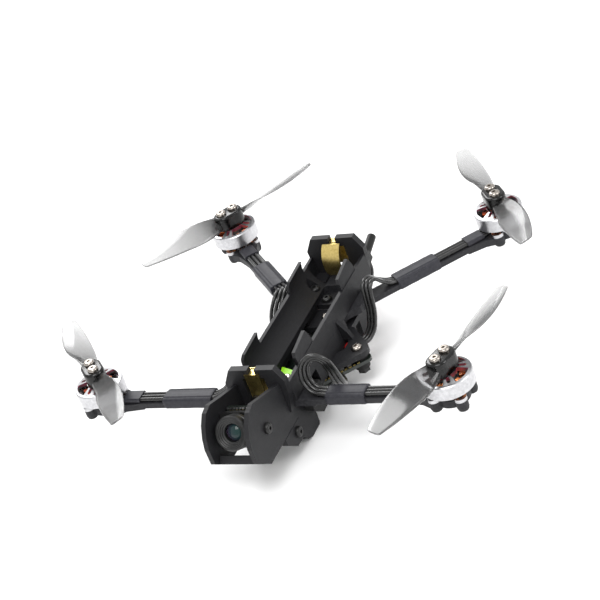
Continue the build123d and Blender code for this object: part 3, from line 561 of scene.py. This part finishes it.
# %% The copper windings
TEETH, TURNS, WIRE = 9, 9, 0.125
COIL_START, COIL_STEP = 3.95, 0.228      # mm from the motor's axis, and on along the tooth each turn
COIL_HALF_WIDE, COIL_HALF_HIGH, COIL_MIDDLE, COIL_CORNER = 0.86, 1.58, 4.3, 0.45


def signed_power(value, power):
    return np.sign(value) * np.abs(value) ** power


def winding(steps=18, around=6):
    a = np.linspace(0, 2 * np.pi * TURNS, TURNS * steps)
    x = COIL_START + a / (2 * np.pi) * COIL_STEP
    y = COIL_HALF_WIDE * signed_power(np.cos(a), COIL_CORNER)
    z = COIL_MIDDLE + COIL_HALF_HIGH * signed_power(np.sin(a), COIL_CORNER)
    line = np.stack([x, y, z], axis=-1)
    out = np.stack([0 * a, np.cos(a), np.sin(a)], axis=-1)
    b = np.linspace(0, 2 * np.pi, around, endpoint=False)[:, None]
    ringlet = WIRE * (np.cos(b) * out[:, None, :] + np.sin(b) * np.array([1.0, 0, 0]))
    return (line[:, None, :] + ringlet)[:, ::-1]


coil = winding()
around_motor = [rotate_z(coil, 360 * k / TEETH) for k in range(TEETH)]
coils = [on_motor(c, one, arm_heading(c)) for c in CORNERS for one in around_motor]
surface("copper_windings", coils, "copper_winding", "airframe", ["windings"])

# %% [markdown]
# A heat-shrink sleeve grips each arm and its three wires. Its section is a rounded box,
# |y / 3.45|^5 + |z / h|^5 = 1, and its top is raised in three soft ridges where the wires lie under it.

# %% The arm sleeves
ARM, WIRE_PITCH = 2.0, 1.5
SLEEVE = {"fl": (29.4, 43.4), "fr": (24.7, 43.4), "rl": (27.0, 43.4), "rr": (24.5, 43.4)}
SLEEVE_HALF, SLEEVE_TOP, SLEEVE_CORNER = 3.45, 1.95, 0.42


def sleeve(first, last, stations=60, around=96):
    s = np.linspace(0, 1, stations)
    a = np.linspace(0, 2 * np.pi, around, endpoint=False)
    low, high = -ARM - 0.5, SLEEVE_TOP
    lip = 1 - 0.05 * np.exp(-(np.minimum(s, 1 - s) / 0.018) ** 2)
    y = lip[:, None] * SLEEVE_HALF * signed_power(np.cos(a), SLEEVE_CORNER)
    z = (low + high) / 2 + lip[:, None] * (high - low) / 2 * signed_power(np.sin(a), SLEEVE_CORNER)
    ridges = 0.13 * np.cos(2 * np.pi * y / WIRE_PITCH) * (np.abs(y) < 2.5 * WIRE_PITCH / 1.7)
    z = z + np.where(np.sin(a) > 0.5, ridges - 0.1, 0)
    z = z + 0.03 * np.sin(23 * s)[:, None] * np.sin(2 * a)
    x = np.broadcast_to((first + (last - first) * s)[:, None], y.shape)
    return np.stack([x, y, z], axis=-1)


sleeves = [on_motor(c, sleeve(*SLEEVE[c]), arm_heading(c)) for c in CORNERS]
surface("sleeves", sleeves, "shrink_sleeve", "airframe", ["arm_sleeves"])

# %% [markdown]
# The camera's lens is the part that the eye goes to, so its barrel is lathed with every ring: a chamfered
# rim, a shallow groove, a stepped cone down to the glass. It is drawn along Z and tipped into place.

# %% The lens
PIVOT = np.array([0.0, -53.8, 3.3 - CELL_HEIGHT])
CAMERA_TILT = 28.0


def in_lens(points):
    """Tips points drawn about the lens axis by 90 degrees less the tilt, about the camera's pivot."""
    t = math.radians(90 - CAMERA_TILT)
    tip = np.array([[1, 0, 0], [0, math.cos(t), math.sin(t)], [0, -math.sin(t), math.cos(t)]])
    return points @ tip + PIVOT


BARREL = [  # radius, height along the lens axis: the outside upwards, then the steps inside downwards
    (3.0, 3.8), (5.75, 3.8), (5.8, 3.9), (5.8, 5.2), (5.55, 5.35), (5.55, 5.7), (5.8, 5.85), (5.8, 8.0),
    (5.4, 8.4), (4.9, 8.4), (4.72, 8.3), (4.66, 8.05), (4.2, 7.85), (4.15, 7.55), (3.7, 7.35), (3.64, 7.1),
    (3.05, 6.9), (3.0, 6.5), (3.0, 5.4),
]
barrel_points = in_lens(turned(BARREL, 96))
surface("barrel", [barrel_points], "lens_black", "camera", ["lens_barrel"], ring=True, sharp=25)

GLASS_R, DOME_R, DOME_CENTRE = 2.95, 3.9, 3.0
cap = np.linspace(0.02, math.asin(GLASS_R / DOME_R), 14)
DOME = [(GLASS_R, 5.5)] + [(DOME_R * math.sin(t), DOME_CENTRE + DOME_R * math.cos(t)) for t in cap[::-1]]
surface("glass_dome", [in_lens(turned(DOME, 64))], "lens_glass", "camera", ["lens_glass"])

# %% [markdown]
# A circuit board looks real by its small things. Gold pads run along the flight controller's edges.
# They are boxes made from one list of centres.

# %% Pads along the flight controller's edges
def boxes(centres, sizes):
    """Closed boxes: each is one section ring at its bottom and one at its top."""
    corners = np.array([(-1, -1), (1, -1), (1, 1), (-1, 1)]) / 2
    made = []
    for (x, y, z), (wide, deep, tall) in zip(centres, sizes):
        ring = corners * (wide, deep) + (x, y)
        levels = np.array([z, z + tall])
        low_high = [np.column_stack([ring, np.full(4, level)]) for level in levels]
        made.append(np.stack(low_high))
    return made


STACK_Y, BOARD_SIDE, BOARD_TOP = -2.5, 33.0, -8.2
edge = BOARD_SIDE / 2 - 0.9
run = np.arange(-11.2, 11.3, 1.6)
on_board = np.array([0, STACK_Y, -CELL_HEIGHT])


def along_edges(inset, spots, size):
    """Boxes of one size along all four edges of the diamond board, inset from its rim."""
    rim = edge - inset
    centres = [(u, side * rim, BOARD_TOP) for u in spots for side in (-1, 1)]
    centres += [(side * rim, u, BOARD_TOP) for u in spots for side in (-1, 1)]
    return [rotate_z(b, 45) + on_board for b in boxes(centres, [size] * len(centres))]


surface("board_pads", along_edges(0, run, (1.0, 1.0, 0.3)), "gold_contact", "airframe")

# %% [markdown]
# The camera's sensor board carries a row of bright parts along its top edge, just behind the barrel.
# They are drawn in the lens's own axes, like the barrel, so they tilt with the camera.

# %% Bright parts on the camera's board
PART_PITCH, SENSOR_FACE = 1.18, -2.78
row = np.arange(-5 * PART_PITCH, 6.0, PART_PITCH)
sizes = [(0.7, 0.55, 1.15 + 0.35 * (k % 2)) for k in range(len(row))]
tops = boxes([(x, 6.35, SENSOR_FACE) for x in row], sizes)
surface("camera_parts", [in_lens(b) for b in tops], "tinned_steel", "camera")
between = row[:-1] + PART_PITCH / 2
low_row = boxes([(x, 5.55, SENSOR_FACE) for x in between], [(0.6, 0.5, 0.9)] * len(between))
surface("camera_pads", [in_lens(b) for b in low_row], "gold_contact", "camera")

# %% [markdown]
# The craft stands on a pale floor under soft light: a bright even sky, a large key panel above and
# ahead, and a long panel behind that draws highlights along the arms and the propellers' edges.

# %% Floor and light
floor_mesh = bpy.data.meshes.new("floor")
floor_z = cad_low.z - 0.0002
far = 3.0
floor_corners = [(-far, -far, floor_z), (far, -far, floor_z), (far, far, floor_z), (-far, far, floor_z)]
floor_mesh.from_pydata(floor_corners, [], [(0, 1, 2, 3)])
floor = bpy.data.objects.new("floor", floor_mesh)
bpy.context.scene.collection.objects.link(floor)
pale = finish("pale_floor", grey(0.93), grey(0.95), 0.9, grain=0.02)
floor_mesh.materials.append(pale)

world = bpy.data.worlds.new("soft_sky")
bpy.context.scene.world = world
world.use_nodes = True
world.node_tree.nodes["Background"].inputs["Color"].default_value = (1, 1, 1, 1)
world.node_tree.nodes["Background"].inputs["Strength"].default_value = 1.0


def panel(name, at, size, power):
    """A square soft light that faces the craft."""
    data = bpy.data.lights.new(name, "AREA")
    data.size = size
    data.energy = power
    lamp = bpy.data.objects.new(name, data)
    lamp.location = at
    lamp.rotation_euler = (-Vector(at)).to_track_quat("-Z", "Y").to_euler()
    bpy.context.scene.collection.objects.link(lamp)


panel("key", (0.15, -0.45, 0.85), 0.5, 5.0)
panel("back", (-0.5, 0.55, 0.6), 0.4, 4.0)
panel("side", (0.75, 0.1, 0.45), 0.3, 2.0)
bpy.context.scene.view_settings.view_transform = "Standard"

# %% [markdown]
# The camera looks down on the nose from the craft's left. Its direction is given as a bearing, a dip and
# a roll, because each of them can be changed without the others. A long lens keeps the perspective flat.

# %% Camera
CAMERA_AT = (0.32149, -0.48643, 0.34487)
BEARING, DIP, ROLL = 33.246, 30.189, -21.16    # degrees: left of +Y, below level, clockwise lean
camera_data = bpy.data.cameras.new("camera")
camera_data.lens = 120.45
camera_data.sensor_width = 36.0
camera_data.clip_start = 0.01
camera_data.dof.use_dof = False
camera = bpy.data.objects.new("camera", camera_data)
aim = Matrix.Rotation(math.radians(BEARING), 4, "Z") @ Matrix.Rotation(math.radians(90 - DIP), 4, "X")
camera.matrix_world = Matrix.Translation(CAMERA_AT) @ aim @ Matrix.Rotation(math.radians(ROLL), 4, "Z")
bpy.context.scene.collection.objects.link(camera)
bpy.context.scene.camera = camera
print("camera right", [round(v, 4) for v in camera.matrix_world.col[0][:3]])

# %% Measure and finish
print("CAD", [round(v / MM, 2) for v in cad_high - cad_low], "mm")
